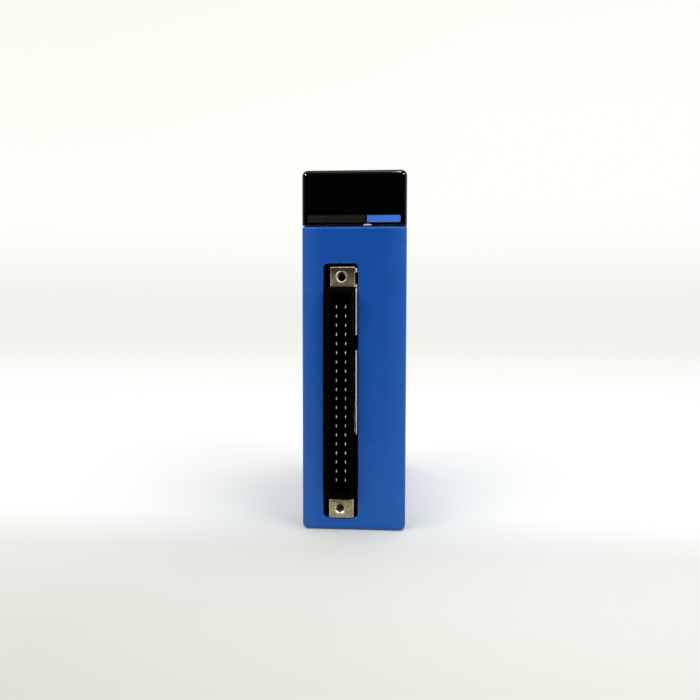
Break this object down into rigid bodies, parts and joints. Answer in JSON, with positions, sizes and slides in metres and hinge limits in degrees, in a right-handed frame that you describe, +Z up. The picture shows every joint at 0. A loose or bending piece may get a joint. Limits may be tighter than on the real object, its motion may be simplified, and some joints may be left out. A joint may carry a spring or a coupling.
{
  "type": "plc input module",
  "caption": "Slim upright controller module: blue casing, gloss black display cap, two-column blade connector in front, plug and sprung release button behind.",
  "frame": {"origin": "middle of the flat bottom face that the module stands on", "axes": "+Z up along the height, -Y out of the front with the connector, +Y out of the back towards the base, +X to the right seen from the front"},
  "size_m": [0.029, 0.0926, 0.1023],
  "materials": {
    "casing_blue": "fine-grained moulded blue plastic, light scuffs",
    "display_black": "polished near-black smoked plastic",
    "legend_dark": "smooth dark grey print, bare",
    "band_blue": "smooth bright blue print",
    "mask_black": "dull black moulding",
    "lamp_clear": "milky clear lamp resin",
    "board_green": "glass-fibre board with green solder resist",
    "insulator_black": "black glass-filled connector moulding",
    "contact_tin": "tin-plated strip",
    "block_nickel": "nickel-plated die casting, slightly warm and dull",
    "chip_black": "moulded chip resin",
    "can_aluminium": "drawn can",
    "release_yellow": "fine-grained moulded yellow plastic",
    "spring_steel": "drawn spring wire",
    "label_grey": "blank silver-grey film label",
    "latch_grey": "pale grey moulded plastic latch"
  },
  "bodies": {
    "module": {"case_shell": "casing_blue", "side_cover": "casing_blue", "side_label": "label_grey", "front_cover": "casing_blue", "display_cover": "display_black", "display_latch": "latch_grey", "legend_strip": "legend_dark", "colour_band": "band_blue", "lamp_mask": "mask_black", "lamp_bar_1": "lamp_clear", "lamp_bar_2": "lamp_clear", "lamp_bar_3": "lamp_clear", "lamp_bar_4": "lamp_clear", "lamp_board": "board_green", "lamp_board_plug": "mask_black", "lamp_board_socket": "mask_black", "main_board": "board_green", "io_connector_body": "insulator_black", "io_contacts_left": "contact_tin", "io_contacts_right": "contact_tin", "upper_end_block": "block_nickel", "upper_block_nut": "block_nickel", "lower_end_block": "block_nickel", "lower_block_nut": "block_nickel", "connector_screen": "contact_tin", "rear_connector_body": "insulator_black", "rear_contacts_left": "contact_tin", "rear_contacts_right": "contact_tin", "optocoupler_1": "chip_black", "optocoupler_2": "chip_black", "optocoupler_3": "chip_black", "optocoupler_4": "chip_black", "optocoupler_5": "chip_black", "optocoupler_6": "chip_black", "optocoupler_7": "chip_black", "optocoupler_8": "chip_black", "resistor_array_1": "chip_black", "resistor_array_2": "chip_black", "resistor_array_3": "chip_black", "resistor_array_4": "chip_black", "interface_chip": "chip_black", "capacitor_1": "can_aluminium", "capacitor_2": "can_aluminium", "oscillator": "can_aluminium", "release_spring": "spring_steel"},
    "release": {"release_button": "release_yellow"}
  },
  "joints": [
    {"name": "release_press", "type": "slide", "parent": "module", "child": "release", "axis": [0, 0, -1], "range_m": [0, 0.0025], "stiffness_N_per_m": 400, "springref_m": -0.0025, "deforming": ["release_spring"]}
  ]
}
